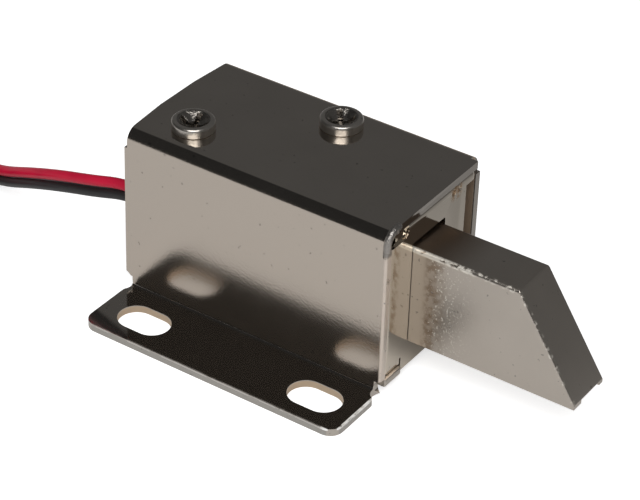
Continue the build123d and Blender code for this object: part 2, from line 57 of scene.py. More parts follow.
ahead = Vector((
    -math.sin(camera_yaw) * math.cos(camera_pitch),
    math.cos(camera_yaw) * math.cos(camera_pitch),
    -math.sin(camera_pitch),
))
level = Vector((math.cos(camera_yaw), math.sin(camera_yaw), 0))
upright = level.cross(ahead)
camera_right = level * math.cos(camera_roll) + upright * math.sin(camera_roll)
camera_up = upright * math.cos(camera_roll) - level * math.sin(camera_roll)

camera = bpy.data.objects.new("camera", bpy.data.cameras.new("camera"))
bpy.context.scene.collection.objects.link(camera)
camera.data.lens = camera_lens
camera.data.sensor_width = film_width
camera.data.clip_start = near_limit
camera.matrix_world = Matrix.Translation(camera_place) @ Matrix(
    (camera_right, camera_up, -ahead)).transposed().to_4x4()
bpy.context.scene.camera = camera
bpy.context.scene.view_settings.view_transform = "Standard"


# The studio: a pale floor in a room whose far side is dim and whose near side is dark, with one
# large soft lamp over the lens. What the plating mirrors of the floor has a painted shadow,
# darker towards the right rear. Floor and air are white to the lens, and the floor keeps the
# shadow.
class Shade:
    """A socket of a material's or a shape's nodes. Sums and products of it add Math nodes."""

    def __init__(self, tree, socket=None):
        self.tree = tree
        self.socket = socket

    def node(self, kind, settings=None, sockets=None, output=0):
        """A new node: its settings, then the values or links of its sockets."""
        shape_node = kind.startswith("GeometryNode")
        made = self.tree.nodes.new(kind if shape_node else "ShaderNode" + kind)
        for name, value in (settings or {}).items():
            if name == "stops":
                ramp = made.color_ramp.elements
                ramp.remove(ramp[1])
                ramp[0].position, ramp[0].color = value[0]
                for place, colour in value[1:]:
                    ramp.new(place).color = colour
            else:
                setattr(made, name, value)
        for name, value in (sockets or {}).items():
            if isinstance(value, Shade):
                self.tree.links.new(value.socket, made.inputs[name])
            else:
                made.inputs[name].default_value = value
        return Shade(self.tree, made.outputs[output] if made.outputs else None)

    def math(self, operation, *values):
        return self.node("Math", {"operation": operation}, dict(enumerate(values)))

    def axes(self, letters):
        """Its parts along the named axes."""
        return [self.node("SeparateXYZ", {}, {0: self}, letter) for letter in letters]

    def blend(self, low, high):
        """The colour low where it is 0, and high where it is 1."""
        return self.node("Mix", {"data_type": "RGBA"}, {0: self, 6: low, 7: high}, 2)

    def __add__(self, other):
        return self.math("ADD", self, other)

    def __sub__(self, other):
        return self.math("SUBTRACT", self, other)

    def __mul__(self, other):
        return self.math("MULTIPLY", self, other)

    def __rsub__(self, other):
        return self.math("SUBTRACT", other, self)

    __radd__ = __add__
    __rmul__ = __mul__


floor_size = 8.0
floor_gap = 0.02
floor_colour = (0.82, 0.82, 0.82, 1)
shadow_lead = (0.02, 0.01)
shadow_length = 0.2
shadow_levels = [(0.0, 0.70), (0.10, 0.60), (0.24, 0.32), (0.50, 0.19), (1.0, 0.13)]
floor_glow = 0.62
near_room_level = 0.023
far_room = [(0.0, 0.13), (0.08, 0.12), (0.30, 0.088)]
lock_middle = Vector((0, 0, 12)) * mm
far_room_from, far_room_full = 0.03, 0.17
near_air_level = 0.72
far_air_level = 0.26
air_turn = 0.4
lamp_place = (0.263, -0.404, 0.575)
lamp_size = 0.55
lamp_power = 2.9

bpy.ops.mesh.primitive_plane_add(size=floor_size, location=(0, 0, -floor_gap * mm))
floor = bpy.context.object
floor.name = "floor"
paper = bpy.data.materials.new("paper")
paper.use_nodes = True
paper.node_tree.nodes.clear()
sheet = Shade(paper.node_tree)
seen = sheet.node("LightPath")
rays = [Shade(paper.node_tree, seen.socket.node.outputs[name])
        for name in ("Is Camera Ray", "Is Glossy Ray", "Is Transmission Ray")]
mirrored = rays[1].math("MAXIMUM", rays[1], rays[2])
glow = sheet.node("Emission", {}, {"Color": (1, 1, 1, 1), "Strength": rays[0] * floor_glow})
spot = sheet.node("TexCoord", {}, {}, "Object")
to_right, to_back = spot.axes("XY")
# Painted shadow: for mirrored rays the floor is darker towards the right rear, behind the lock.
right_rear = to_right.math(
    "MINIMUM", to_right + shadow_lead[0], to_back + shadow_lead[1]) * (1 / shadow_length)
dimmed = sheet.node("ValToRGB", {"stops": [
    (place, (level, level, level, 1)) for place, level in shadow_levels]}, {0: right_rear})
tone = mirrored.blend(floor_colour, dimmed)
matt = sheet.node("BsdfDiffuse", {}, {"Color": tone})
both = sheet.node("AddShader", {}, {0: glow, 1: matt})
sheet.node("OutputMaterial", {}, {"Surface": both})
floor.data.materials.append(paper)

world = bpy.data.worlds.new("studio")
bpy.context.scene.world = world
world.use_nodes = True
world.node_tree.nodes.clear()
air = Shade(world.node_tree)
seen = air.node("LightPath")
camera_ray = Shade(world.node_tree, seen.socket.node.outputs["Is Camera Ray"])
glossy_ray = Shade(world.node_tree, seen.socket.node.outputs["Is Glossy Ray"])
direction = air.node("TexCoord", {}, {}, "Generated")
height, depth = direction.axes("ZY")
far_side = air.node("ValToRGB", {"stops": [
    (rise, (level, level, level, 1)) for rise, level in far_room]}, {0: height})
to_far = air.node("MapRange", {"interpolation_type": "SMOOTHSTEP"}, {
    0: depth, 1: far_room_from, 2: far_room_full})
room = air.node("Mix", {"data_type": "FLOAT"}, {0: to_far, 2: near_room_level, 3: far_side})
over_all = air.node("MapRange", {"interpolation_type": "SMOOTHSTEP"}, {
    0: depth, 1: -air_turn, 2: air_turn, 3: near_air_level, 4: far_air_level})
level_now = air.node("Mix", {"data_type": "FLOAT"}, {0: glossy_ray, 2: over_all, 3: room})
strength = air.node("Mix", {"data_type": "FLOAT"}, {0: camera_ray, 2: level_now, 3: 1.0})
back = air.node("Background", {}, {"Color": (1, 1, 1, 1), "Strength": strength})
air.node("OutputWorld", {}, {"Surface": back})

lamp = bpy.data.objects.new("front_lamp", bpy.data.lights.new("front_lamp", "AREA"))
bpy.context.scene.collection.objects.link(lamp)
lamp.data.size = lamp_size
lamp.data.energy = lamp_power
lamp.location = lamp_place
lamp.rotation_mode = "QUATERNION"
lamp.rotation_quaternion = (lock_middle - Vector(lamp_place)).to_track_quat("-Z", "Y")


# The two leads: thin stranded wires in smooth red and black insulation. They leave the rubber
# grommet level, droop in the air to the surface behind the lock, and the rest of their length
# is put away in two flat coils, one on the other, just outside the picture.
lead_diameter = 1.55
coil_middle = (-74.3, -7.49)
coil_radius = 10.5
coil_pitch = 1.65
points_per_turn = 18
coil_points = 58
coil_entry = math.radians(90)
lead_start = {"red": (-32.8, -4.295, 15.3), "black": (-32.8, -4.045, 13.507)}
lead_routes = {
    "red": [
        (-35.6, -4.295, 15.3),
        (-40.18, -4.74, 14.2),
        (-46.27, -3.95, 12.23),
        (-53.5, -2.0, 8.93),
        (-62.0, 1.2, 4.19),
        (-68.0, 3.01, 2.4),
        (-71.3, 3.01, 2.4),
    ],
    "black": [
        (-35.2, -4.045, 13.507),
        (-40.0, -4.0, 11.98),
        (-46.0, -3.5, 10.2),
        (-53.1, -2.0, 7.28),
        (-61.7, 1.1, 2.56),
        (-68.0, 3.01, 0.8),
        (-71.3, 3.01, 0.8),
    ],
}
lead_last = [(-4.95, -0.2), (-4.55, -1.9), (-3.3, -3.0), (-1.9, -3.0)]


def material(name, build):
    """A material; build makes its nodes and returns the surface shader."""
    made = bpy.data.materials.new(name)
    made.use_nodes = True
    made.node_tree.nodes.clear()
    paint = Shade(made.node_tree)
    surface = build(paint)
    paint.node("OutputMaterial", {}, {"Surface": surface})
    return made


def insulation(colour, dark, roughness):
    """Smooth flexible plastic, with faint clouding and a slightly dull skin."""
    def build(paint):
        place = paint.node("TexCoord", {}, {}, "Object")
        cloud = paint.node("TexNoise", {}, {"Vector": place, "Scale": 260.0, "Detail": 3.0})
        grain = paint.node("TexNoise", {}, {"Vector": place, "Scale": 2600.0, "Detail": 2.0})
        tone = cloud.blend(dark, colour)
        bump = paint.node("Bump", {}, {"Strength": 0.12, "Distance": 0.03 * mm, "Height": grain})
        return paint.node("BsdfPrincipled", {}, {
            "Base Color": tone,
            "Roughness": cloud * 0.12 + roughness,
            "Specular IOR Level": 0.28,
            "Normal": bump,
        })
    return build


lead_colours = {
    "red": ((0.60, 0.004, 0.040, 1), (0.38, 0.003, 0.026, 1)),
    "black": ((0.030, 0.029, 0.030, 1), (0.018, 0.018, 0.019, 1)),
}
lead_paint = {name: material(name + "_insulation", insulation(*colours, 0.30))
              for name, colours in lead_colours.items()}
for colour, route in lead_routes.items():
    height_now = route[-1][2]
    points = [lead_start[colour], *route]
    for step in range(1, coil_points + 1):
        turn = step / points_per_turn
        radius = (coil_radius - coil_pitch * turn) / math.cos(math.pi / points_per_turn)
        angle = coil_entry + turn * math.tau
        points.append((coil_middle[0] + radius * math.cos(angle),
                       coil_middle[1] + radius * math.sin(angle), height_now))
    points += [(coil_middle[0] + x, coil_middle[1] + y, height_now) for x, y in lead_last]
    line = bpy.data.curves.new(colour + "_lead_line", "CURVE")
    line.dimensions = "3D"
    line.resolution_u = 6
    line.bevel_depth = lead_diameter / 2 * mm
    line.bevel_resolution = 5
    line.use_fill_caps = True
    spline = line.splines.new("NURBS")
    spline.points.add(len(points) - 1)
    for point, place in zip(spline.points, points):
        point.co = (*[value * mm for value in place], 1)
    spline.order_u = 3
    spline.use_endpoint_u = True
    line.materials.append(lead_paint[colour])
    lead = bpy.data.objects.new(colour + "_lead_wire", line)
    bpy.context.scene.collection.objects.link(lead)
    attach(lead, "case")
    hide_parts(colour + "_lead", colour + "_lead_coil")


# The bare ends of the leads: seven tinned copper strands, stripped and twisted together, so
# that they can be clamped under a terminal. They start inside the insulation's cut end.
strand_radius = 0.125
strand_reach = 0.26
strands_inside = 0.4
strands_round = 6
twist_turns = 1.3
bare_length = 4.3


def shape_tree(name, inputs, build):
    """Geometry Nodes with named inputs; build gets their sockets and returns the shape."""
    tree = bpy.data.node_groups.new(name, "GeometryNodeTree")
    tree.interface.new_socket("Shape", in_out="OUTPUT", socket_type="NodeSocketGeometry")
    for key, kind in inputs.items():
        tree.interface.new_socket(key, in_out="INPUT", socket_type="NodeSocket" + kind)
    given = tree.nodes.new("NodeGroupInput")
    shape = build(Shade(tree), {key: Shade(tree, given.outputs[key]) for key in inputs})
    result = tree.nodes.new("NodeGroupOutput")
    tree.links.new(shape.socket, result.inputs[0])
    return tree


def grown(name, tree, values, source=None):
    """Runs a tree once and returns what it made as a plain mesh object."""
    host = bpy.data.objects.new(name + "_host", source or bpy.data.meshes.new(name + "_host"))
    bpy.context.scene.collection.objects.link(host)
    grower = host.modifiers.new("shape", "NODES")
    grower.node_group = tree
    for item in tree.interface.items_tree:
        if item.in_out == "INPUT" and item.name in values:
            grower[item.identifier] = values[item.name]
    ready = bpy.context.evaluated_depsgraph_get()
    made = bpy.data.objects.new(name, bpy.data.meshes.new_from_object(host.evaluated_get(ready)))
    bpy.data.objects.remove(host)
    bpy.context.scene.collection.objects.link(made)
    return made


def finished(paint, shape, given):
    """The last steps of a wire's tree: real geometry, smooth, with its material."""
    real = paint.node("GeometryNodeRealizeInstances", {}, {0: shape})
    smooth = paint.node("GeometryNodeSetShadeSmooth", {}, {"Geometry": real})
    return paint.node("GeometryNodeSetMaterial", {}, {
        "Geometry": smooth, "Material": given["Finish"]})


def dimmed_to(level, colour):
    """The colour made darker or a little lighter by level, and opaque."""
    return tuple(min(1.0, part * level) for part in colour) + (1,)


def drawn_wire(colour, roughness):
    """Bright drawn metal with faint clouds and a fine grain."""
    def build(paint):
        place = paint.node("TexCoord", {}, {}, "Object")
        cloud = paint.node("TexNoise", {}, {"Vector": place, "Scale": 500.0, "Detail": 4.0})
        tone = cloud.blend(dimmed_to(0.82, colour), (*colour, 1))
        bump = paint.node("Bump", {}, {"Strength": 0.4, "Distance": 0.006 * mm, "Height": cloud})
        return paint.node("BsdfPrincipled", {}, {
            "Base Color": tone,
            "Metallic": 1.0,
            "Roughness": cloud * 0.12 + roughness,
            "Normal": bump,
        })
    return build


wire_inputs = {"Start": "Vector", "Radius": "Float", "Wire": "Float", "Turns": "Float",
               "Length": "Float", "Finish": "Material"}


def twisted_strands(paint, given):
    """Six strands twisted round a seventh."""
    count = 60
    line = paint.node("GeometryNodeMeshLine", {}, {"Count": count})
    share = paint.node("GeometryNodeInputIndex") * (1 / (count - 1))
    angle = share * given["Turns"] * math.tau
    along = share * given["Length"]
    ring = paint.node("GeometryNodeCurvePrimitiveCircle", {}, {
        "Resolution": 10, "Radius": given["Wire"]})
    wires = []
    for reach in (given["Radius"], 0.0):
        across = angle.math("COSINE", angle) * reach
        up = angle.math("SINE", angle) * reach
        point = paint.node("CombineXYZ", {}, {0: along, 1: across, 2: up})
        bent = paint.node("GeometryNodeSetPosition", {}, {"Geometry": line, "Position": point})
        path = paint.node("GeometryNodeMeshToCurve", {}, {0: bent})
        wires.append(paint.node("GeometryNodeCurveToMesh", {}, {
            0: path, 1: ring, "Fill Caps": True}))
    spots = paint.node("GeometryNodePoints", {}, {"Count": strands_round})
    turn = paint.node("GeometryNodeInputIndex") * (math.tau / strands_round)
    turned = paint.node("CombineXYZ", {}, {0: turn})
    outer = paint.node("GeometryNodeInstanceOnPoints", {}, {
        "Points": spots, "Instance": wires[0], "Rotation": turned})
    join = paint.node("GeometryNodeJoinGeometry", {}, {0: outer})
    paint.tree.links.new(wires[1].socket, join.socket.node.inputs[0])
    moved = paint.node("GeometryNodeTransform", {}, {
        "Geometry": join, "Translation": given["Start"]})
    return finished(paint, moved, given)


tinned_paint = material("tinned_copper", drawn_wire((0.74, 0.73, 0.71), 0.22))
strand_tree = shape_tree("twisted_strands", wire_inputs, twisted_strands)
for colour, route in lead_routes.items():
    start = Vector((coil_middle[0] + lead_last[-1][0] - strands_inside,
                    coil_middle[1] + lead_last[-1][1], route[-1][2])) * mm
    bare = grown(colour + "_bare_strands", strand_tree, {
        "Start": start, "Radius": strand_reach * mm, "Wire": strand_radius * mm,
        "Turns": twist_turns, "Length": bare_length * mm, "Finish": tinned_paint})
    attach(bare, "case")
    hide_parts(colour + "_lead_end")


# The cover: one nickel plated sheet, bent over the mechanism, with the mounting flange turned out
# at its foot. It is punched and bent, then tumbled, so that every edge is a little round.
wall_outside = -6.5
wall_inside = -5.4
far_wall_inside = 16.0
far_wall_front = 7.85
cover_front = 8.55
bead_foot = 22.0
flange_top = 1.1
flange_rim = -17.1
slots_middle = (-12.0, -12.2)
slots_reach = 19.5
edge_round = 0.30
edge_part = 0.47
speck_from, speck_full = 0.735, 0.79
flat_within = math.radians(0.4)
hard_edge = math.radians(32)
same_corner = 0.002


def nickel(colour, roughness, grain, *regions, specks=0.60, grain_scale=2600.0):
    """Bright plating: a warm grey mirror with faint clouds, a fine grain and some dark specks.

    A region is a share with its own colour, roughness, grain and metallic part.
    """
    def build(paint):
        place = paint.node("TexCoord", {}, {}, "Object")
        cloud = paint.node("TexNoise", {}, {"Vector": place, "Scale": 150.0, "Detail": 4.0})
        fine = paint.node("TexNoise", {}, {"Vector": place, "Scale": grain_scale, "Detail": 3.0})
        spot = paint.node("TexNoise", {}, {"Vector": place, "Scale": 1500.0, "Detail": 1.0})
        dark = paint.node("MapRange", {}, {
            0: spot, 1: speck_from, 2: speck_full, 3: 0.0, 4: specks})
        tone = cloud.blend(dimmed_to(0.93, colour), dimmed_to(1.05, colour))
        rough = cloud * 0.04 + roughness
        coarse = fine * grain
        metallic = 1.0
        for share_of, region_colour, region_roughness, region_grain, region_metallic in regions:
            share = share_of(place)
            tone = share.blend(tone, (*region_colour, 1))
            rough = rough + share * (region_roughness - roughness)
            coarse = coarse + share * fine * (region_grain - grain)
            if region_metallic < 1.0:
                metallic = share * (region_metallic - 1.0) + metallic
        tone = dark.blend(tone, dimmed_to(0.35, colour))
        bump = paint.node("Bump", {}, {"Strength": 1.0, "Distance": 0.012 * mm, "Height": coarse})
        return paint.node("BsdfPrincipled", {}, {
            "Base Color": tone, "Metallic": metallic, "Roughness": rough, "Normal": bump})
    return build


def step_between(value, low, high):
    """0 on the side of low, 1 on the side of high, and a soft step between them."""
    return value.node("MapRange", {"interpolation_type": "SMOOTHSTEP"}, {
        0: value, 1: low, 2: high})


def mm_between(value, low, high):
    """The same for a place, with both ends in millimetres."""
    return step_between(value, low * mm, high * mm)


def near_wall_share(place):
    """The upright near wall of the cover, which is duller than its top and its flange."""
    across, up = place.axes("YZ")
    outside = mm_between(across, wall_outside + 0.3, wall_outside + 0.15)
    return outside * mm_between(up, flange_top + 0.2, flange_top + 0.6)


def front_edge_highlight_share(place):
    """The near wall's upright front edge, with a painted highlight broken in patches."""
    along, up, across = place.axes("XZY")
    wear = place.node("TexNoise", {}, {"Vector": place, "Scale": 900.0, "Detail": 4.0})
    edge = mm_between(along, cover_front - 0.5, cover_front - 0.25)
    edge = edge * mm_between(across, wall_inside + 0.2, wall_inside)
    edge = edge * mm_between(up, bead_foot + 0.6, bead_foot)
    edge = edge * mm_between(up, flange_top + 0.1, flange_top + 0.5)
    return edge * step_between(wear, 0.20, 0.45)


def bead_share(place):
    """The bead at the near top corner, dented and scuffed by the press."""
    along, up, across = place.axes("XZY")
    edge = mm_between(along, cover_front - 0.65, cover_front - 0.5)
    edge = edge * mm_between(across, wall_inside + 1.8, wall_inside + 1.5)
    return edge * mm_between(up, bead_foot, bead_foot + 0.6)


def flange_side_share(place):
    """The sheared sides of the flange."""
    along, across, up = place.axes("XYZ")
    near_rim = mm_between(across, flange_rim + 0.15, flange_rim + 0.1)
    front_rim = mm_between(along, cover_front - 0.15, cover_front - 0.1)
    side = near_rim.math("MAXIMUM", near_rim, front_rim)
    side = side * mm_between(up, flange_top - 0.05, flange_top - 0.15)
    return side * mm_between(across, wall_outside - 0.9, wall_outside - 1.3)


def flange_edge_wear_and_highlight_share(place):
    """The flange's outer upper edges: wear and a painted highlight, bright in patches, mostly at
    the front.
    """
    along, across, up = place.axes("XYZ")
    wear = place.node("TexNoise", {}, {"Vector": place, "Scale": 500.0, "Detail": 5.0})
    near_rim = mm_between(across, flange_rim + 0.25, flange_rim + 0.15)
    front_rim = mm_between(along, cover_front - 0.3, cover_front - 0.25)
    corner = mm_between(along, cover_front - 2.55, cover_front - 1.55)
    rim = near_rim.math("MAXIMUM", near_rim * (corner * 0.8 + 0.2), front_rim)
    band = mm_between(up, flange_top - 0.32, flange_top - 0.24)
    band = band * mm_between(up, flange_top + 0.4, flange_top + 0.2)
    band = band * mm_between(across, wall_outside - 0.1, wall_outside - 0.5)
    return rim * band * step_between(wear, 0.30, 0.5)


def slot_wall_share(place):
    """The punched walls of the flange's two slots, torn and duller."""
    across, up, along = place.axes("YZX")
    inside = mm_between(across, slots_middle[1] - 3.7, slots_middle[1] - 3.5)
    inside = inside * mm_between(across, slots_middle[1] + 3.5, slots_middle[1] + 3.3)
    inside = inside * mm_between(along, cover_front - 0.55, cover_front - 0.65)
    return inside * mm_between(up, flange_top - 0.08, flange_top - 0.15)


def inner_wall_share(place):
    """The far wall's inside, where the plating bath hardly reached."""
    across, along = place.axes("YX")
    inside = mm_between(across, far_wall_inside - 0.3, far_wall_inside - 0.2)
    inside = inside * mm_between(across, far_wall_inside + 0.2, far_wall_inside + 0.1)
    return inside * mm_between(along, far_wall_front - 0.05, far_wall_front - 0.25)


def eased_mesh(name, node, width, kept=None, share_of=None):
    """A merged copy of a CAD mesh whose edges are rubbed round by width, in millimetres.

    kept picks corners to keep, and share_of gives an edge's part of the width from its middle.
    """
    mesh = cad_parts[node].data.copy()
    mesh.materials.clear()
    shape = bmesh.new()
    shape.from_mesh(mesh)
    bmesh.ops.remove_doubles(shape, verts=shape.verts, dist=same_corner * mm)
    if kept:
        others = [vert for vert in shape.verts if not kept(vert.co)]
        bmesh.ops.delete(shape, geom=others, context="VERTS")
    bmesh.ops.dissolve_limit(
        shape, angle_limit=flat_within, verts=shape.verts, edges=shape.edges)
    for face in shape.faces:
        face.smooth = True
    rubbed = shape.edges.layers.float.new("bevel_weight_edge")
    for edge in shape.edges:
        if edge.calc_face_angle(0.0) > hard_edge:
            middle = (edge.verts[0].co + edge.verts[1].co) / 2
            edge[rubbed] = share_of(middle) if share_of else 1.0
    shape.to_mesh(mesh)
    shape.free()
    mesh.set_sharp_from_angle(angle=hard_edge)
    rough = bpy.data.objects.new(name + "_rough", mesh)
    bpy.context.scene.collection.objects.link(rough)
    ease = rough.modifiers.new("ease", "BEVEL")
    ease.width = width * mm
    ease.segments = 3
    ease.limit_method = "WEIGHT"
    ease.harden_normals = True
    ready = bpy.context.evaluated_depsgraph_get()
    made = bpy.data.meshes.new_from_object(rough.evaluated_get(ready))
    bpy.data.objects.remove(rough)
    return made


def eased_copy(name, node, body, paint, width, share_of=None):
    """The eased mesh as an object that takes the CAD piece's place."""
    made = bpy.data.objects.new(name, eased_mesh(name, node, width, None, share_of))
    bpy.context.scene.collection.objects.link(made)
    made.data.materials.append(paint)
    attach(made, body)
    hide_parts(node)


def cover_edge(middle):
    """How far an edge of the cover is rubbed: the flange's upper edges by twice the rest."""
    along, across, up = middle / mm
    on_flange = across < wall_outside - 1.7 and abs(up - flange_top) < 0.02
    in_slot = across > slots_middle[1] - 3.8 and abs(along - slots_middle[0]) < slots_reach
    return 1.0 if on_flange and not in_slot else edge_part


cover_paint = material("nickel_plate", nickel(
    (0.63, 0.575, 0.515), 0.07, 0.05,
    (near_wall_share, (0.655, 0.58, 0.505), 0.16, 0.9, 1.0),
    # A painted highlight on the near wall's upright front edge.
    (front_edge_highlight_share, (0.86, 0.76, 0.67), 0.34, 1.8, 0.85),
    (bead_share, (0.46, 0.43, 0.40), 0.30, 16.0, 1.0),
    (flange_side_share, (0.50, 0.475, 0.44), 0.20, 1.5, 1.0),
    # Wear and a painted highlight on the flange's outer upper edges.
    (flange_edge_wear_and_highlight_share, (0.93, 0.92, 0.89), 0.45, 1.5, 0.08),
    (slot_wall_share, (0.62, 0.49, 0.36), 0.34, 1.5, 0.9),
    (inner_wall_share, (0.42, 0.31, 0.22), 0.45, 1.0, 0.4)))
eased_copy("cover_sheet", "cover", "case", cover_paint,
           edge_round, cover_edge)


# The yoke and the plate that closes it below: thicker steel with the same plating. The bolt
# runs in the yoke's front leg, and the plate, which is duller, passes both legs with its tabs.
stake_middle = Vector((8.15, 10.75, 23.4)) * mm
stain_reach = 1.9
stain_heart = 0.9
yoke_round = 0.10
plate_round = 0.05


def stake_share(place):
    """Brown stain round the two stake marks under the roof."""
    reach = place.node("VectorMath", {"operation": "DISTANCE"}, {
        0: place, 1: stake_middle}, "Value")
    stain = place.node("TexNoise", {}, {"Vector": place, "Scale": 1200.0, "Detail": 4.0})
    return mm_between(reach, stain_reach, stain_heart) * step_between(stain, 0.40, 0.60)


frame_paint = material("nickel_plate_frame", nickel(
    (0.83, 0.745, 0.635), 0.07, 0.20, (stake_share, (0.46, 0.31, 0.19), 0.35, 2.0, 0.8)))
eased_copy("yoke_frame", "yoke", "case", frame_paint, yoke_round)
plate_paint = material("nickel_plate_base", nickel((0.60, 0.55, 0.495), 0.34, 1.8))
eased_copy("base_plate_tabbed", "base_plate", "case", plate_paint,
           plate_round)


# The latch bolt: nickel plated steel, with wear and a painted highlight on its near edges. Close
# to the case it is scuffed and stained, because that stretch slides in and out of the yoke's
# opening.
bolt_top = 20.0
bolt_near = 0.4
slant_normal = (0.8316, 0.5554)
slant_reach = 30.98
bolt_round = 0.16


def bolt_root_share(place):
    """Fine bright scuffs on the stretch of the bolt next to the case."""
    along, up = place.axes("XZ")
    scuff = place.node("TexNoise", {}, {"Vector": place, "Scale": 3000.0, "Detail": 5.0})
    stretch = mm_between(along, 19.0, 12.0) * mm_between(along, 10.2, 11.6)
    below = mm_between(up, bolt_top - 0.4, bolt_top - 0.8)
    return stretch * below * step_between(scuff, 0.58, 0.66)


def bolt_brown_share(place):
    """A thin brown stain down the bolt's sides, just outside the opening at rest."""
    along, up = place.axes("XZ")
    stain = place.node("TexNoise", {}, {"Vector": place, "Scale": 1500.0, "Detail": 5.0})
    band = mm_between(along, 9.8, 10.8) * mm_between(along, 14.0, 11.6)
    below = mm_between(up, bolt_top - 0.4, bolt_top - 0.8)
    return band * below * step_between(stain, 0.36, 0.62)


def bolt_edge_wear_and_highlight_share(place):
    """The bolt's near top edge and the near edge of its slant: wear and a painted highlight, in
    patches.
    """
    along, across, up = place.axes("XYZ")
    wear = place.node("TexNoise", {}, {"Vector": place, "Scale": 1300.0, "Detail": 5.0})
    worn = step_between(wear + mm_between(along, 20.0, 11.0) * 0.25, 0.5, 0.7)
    top = mm_between(up, bolt_top - 0.75, bolt_top - 0.5)
    reach = along * slant_normal[0] + up * slant_normal[1]
    slant = mm_between(reach, slant_reach - 0.35, slant_reach - 0.2)
    near_side = mm_between(across, bolt_near + 0.6, bolt_near + 0.35)
    return worn * near_side * top.math("MAXIMUM", top, slant)


def bolt_stain_share(place):
    """Oil stain on top of the bolt next to the case, wiped there by the yoke's opening."""
    along, up = place.axes("XZ")
    return mm_between(along, 17.5, 11.0) * mm_between(up, bolt_top - 0.5, bolt_top - 0.3)


bolt_paint = material("bolt_nickel", nickel(
    (0.62, 0.56, 0.495), 0.27, 0.9,
    (bolt_stain_share, (0.36, 0.28, 0.22), 0.27, 0.9, 1.0),
    (bolt_brown_share, (0.40, 0.32, 0.25), 0.32, 2.0, 1.0),
    (bolt_root_share, (0.90, 0.86, 0.78), 0.50, 3.0, 0.9),
    # Wear and a painted highlight on the bolt's near edges.
    (bolt_edge_wear_and_highlight_share, (0.90, 0.85, 0.76), 0.45, 2.0, 0.7)))
eased_copy("latch_bolt_eased", "latch_bolt", "bolt", bolt_paint, bolt_round)


# The two top screws: nickel plated pan heads with a dished cross recess. They are cold headed,
# so both have one shape, which is made once and set at both places in the cover.
screw_middle = Vector((-26.1, -0.75, 25.9)) * mm
second_screw = Vector((-10.8, 11.7, 25.9)) * mm
between_screws = -18 * mm
screw_turn = math.radians(34)
dish_radius = 2.3
screw_round = 0.10


def screw_pair(paint, given):
    """One screw at each of two places, the second driven a little further round."""
    places = paint.node("GeometryNodeMeshLine", {"mode": "END_POINTS"}, {
        "Count": 2, "Start Location": given["First"], "Offset": given["Second"]})
    turn = paint.node("GeometryNodeInputIndex") * given["Turn"]
    turned = paint.node("CombineXYZ", {}, {2: turn})
    pair = paint.node("GeometryNodeInstanceOnPoints", {}, {
        "Points": places, "Instance": given["Screw"], "Rotation": turned})
    real = paint.node("GeometryNodeRealizeInstances", {}, {0: pair})
    return paint.node("GeometryNodeSetMaterial", {}, {
        "Geometry": real, "Material": given["Finish"]})


def screw_dish_shade(place):
    """The hollow of both heads, painted darker as shade in the recess."""
    along, across = place.axes("XY")
    flat = place.node("CombineXYZ", {}, {0: along, 1: across})
    reach = [place.node("VectorMath", {"operation": "DISTANCE"}, {
        0: flat, 1: (spot.x, spot.y, 0)}, "Value") for spot in (screw_middle, second_screw)]
    nearest = reach[0].math("MINIMUM", *reach)
    return mm_between(nearest, dish_radius + 0.02, dish_radius - 0.1)


# The dish region is painted shade: the heads' hollows are darker than their rims.
screw_paint = material("screw_nickel", nickel(
    (0.60, 0.56, 0.51), 0.27, 3.4, (screw_dish_shade, (0.34, 0.315, 0.285), 0.24, 22.0, 1.0),
    specks=0.7, grain_scale=1000.0))
one_screw = eased_mesh(
    "one_screw", "cover_screws", screw_round, lambda place: place.x < between_screws)
one_screw.transform(Matrix.Translation(-screw_middle))
screw_tree = shape_tree("screw_pair", {
    "Screw": "Geometry", "First": "Vector", "Second": "Vector", "Turn": "Float",
    "Finish": "Material"}, screw_pair)
screws = grown("top_screws", screw_tree, {
    "First": screw_middle, "Second": second_screw, "Turn": screw_turn,
    "Finish": screw_paint}, one_screw)
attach(screws, "case")
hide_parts("cover_screws")


# The return spring: bright drawn wire, coiled round the plunger with its end turns closed. It
# sits between the seat washer and the bolt's shoulder.
spring_wire = 0.3
spring_radius = 4.65
spring_turns = 6.5
spring_start = Vector((-10.17, 4.15, 12.65)) * mm
spring_length = 13.49


def coil_spring(paint, given):
    """A round wire on a screw line whose pitch is closed at both ends."""
    count = 400
    line = paint.node("GeometryNodeMeshLine", {}, {"Count": count})
    share = paint.node("GeometryNodeInputIndex") * (1 / (count - 1))
    closed = 0.12
    angle = share * given["Turns"] * math.tau
    ends = share.math("MINIMUM", share, closed) + share.math("MAXIMUM", share - (1 - closed), 0.0)
    middle = paint.node("MapRange", {}, {0: share, 1: closed, 2: 1 - closed})
    end_rise = given["Wire"] * 2.0 * given["Turns"]
    open_rise = given["Length"] - end_rise * (2 * closed)
    along = ends * end_rise + middle * open_rise
    across = angle.math("COSINE", angle) * given["Radius"]
    up = angle.math("SINE", angle) * given["Radius"]
    point = paint.node("CombineXYZ", {}, {0: along, 1: across, 2: up})
    placed = paint.node("VectorMath", {"operation": "ADD"}, {0: point, 1: given["Start"]})
    bent = paint.node("GeometryNodeSetPosition", {}, {"Geometry": line, "Position": placed})
    path = paint.node("GeometryNodeMeshToCurve", {}, {0: bent})
    ring = paint.node("GeometryNodeCurvePrimitiveCircle", {}, {
        "Resolution": 14, "Radius": given["Wire"]})
    wire = paint.node("GeometryNodeCurveToMesh", {}, {0: path, 1: ring, "Fill Caps": True})
    return finished(paint, wire, given)


spring_paint = material("spring_steel", drawn_wire((0.66, 0.65, 0.63), 0.18))
spring = grown("coiled_spring", shape_tree("coil_spring", wire_inputs, coil_spring), {
    "Start": spring_start, "Radius": spring_radius * mm, "Wire": spring_wire * mm,
    "Turns": spring_turns, "Length": spring_length * mm, "Finish": spring_paint})
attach(spring, "case")
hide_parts("return_spring")
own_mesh(spring)


# The plunger and its cross pin: soft iron, ground on a centreless grinder, so that fine lines
# run round them. The pin is pushed through the bolt and the plunger's neck.
ground_lines = 2500.0
along_lines = 45.0


